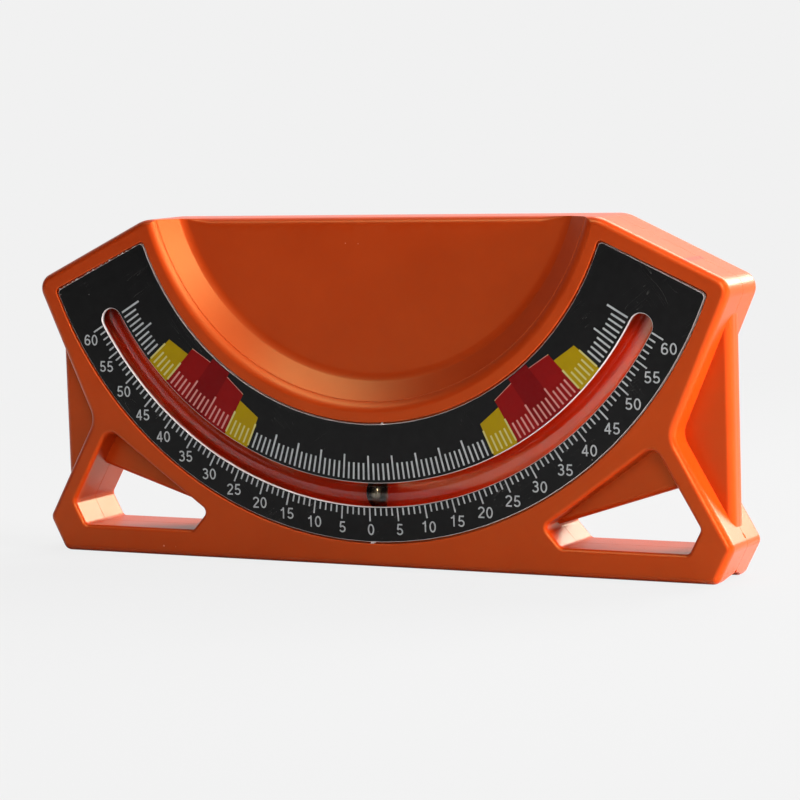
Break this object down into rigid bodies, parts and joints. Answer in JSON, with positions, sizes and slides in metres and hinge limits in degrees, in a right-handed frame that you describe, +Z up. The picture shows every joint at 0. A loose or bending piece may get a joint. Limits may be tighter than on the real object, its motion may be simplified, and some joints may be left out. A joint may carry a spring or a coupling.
{
  "type": "inclinometer",
  "caption": "Pocket slope meter: a steel ball rolls in a curved clear tube behind a printed arc scale, in a flat moulded housing with strap windows and a pole seat.",
  "frame": {"origin": "middle of the base, halfway through the depth, on the surface that the base stands on", "axes": "+X along the length to the reader's right, -Y towards the reader of the scale, +Z up"},
  "size_m": [0.128, 0.0126, 0.0575],
  "materials": {
    "housing_plastic": "satin moulded orange plastic",
    "printed_plate": "black printed sheet with white core, marks and colour bands",
    "adhesive_film": "thin double-sided film",
    "clear_tube": "clear drawn tube, polished",
    "plug_rubber": "matt moulded rubber",
    "ball_steel": "polished bearing steel",
    "screw_zinc": "zinc plated"
  },
  "bodies": {
    "housing": {"front_housing": "housing_plastic", "rear_housing": "housing_plastic", "scale_plate": "printed_plate", "plate_adhesive": "adhesive_film", "vial_tube": "clear_tube", "vial_plug_right": "plug_rubber", "vial_plug_left": "plug_rubber", "housing_screw_upper_right": "screw_zinc", "housing_screw_upper_left": "screw_zinc", "housing_screw_inner_right": "screw_zinc", "housing_screw_inner_left": "screw_zinc", "housing_screw_lower_right": "screw_zinc", "housing_screw_lower_left": "screw_zinc"},
    "ball": {"indicator_ball": "ball_steel"}
  },
  "joints": [
    {"name": "ball_roll", "type": "hinge", "parent": "housing", "child": "ball", "pos_m": [0, -0.00235, 0.0689], "axis": [0, -1, 0], "range_deg": [-60, 60]}
  ]
}
